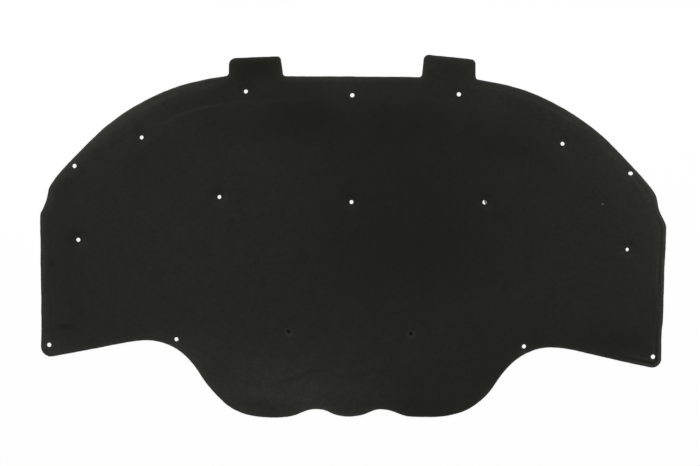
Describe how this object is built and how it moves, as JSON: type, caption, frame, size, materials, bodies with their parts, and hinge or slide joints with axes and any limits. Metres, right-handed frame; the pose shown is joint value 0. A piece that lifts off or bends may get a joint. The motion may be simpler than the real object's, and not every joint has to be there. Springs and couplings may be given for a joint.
{
  "type": "hood insulation pad",
  "caption": "Flat moulded black felt pad for the underside of a car hood, with a pressed flange, rear tabs, lamp cut-outs and clip holes.",
  "frame": {"origin": "middle of the rectangle that the pad covers, on the flat hood side that it lies on", "axes": "+X across the car, -Y towards the front of the car (the lobes), +Y towards the tabs, +Z from the hood side to the moulded side"},
  "size_m": [1.3, 0.75, 0.012],
  "materials": {
    "black_felt": "dull needled felt, black with a faint warm cast"
  },
  "bodies": {
    "root": {"insulation_pad": "black_felt"}
  },
  "joints": []
}
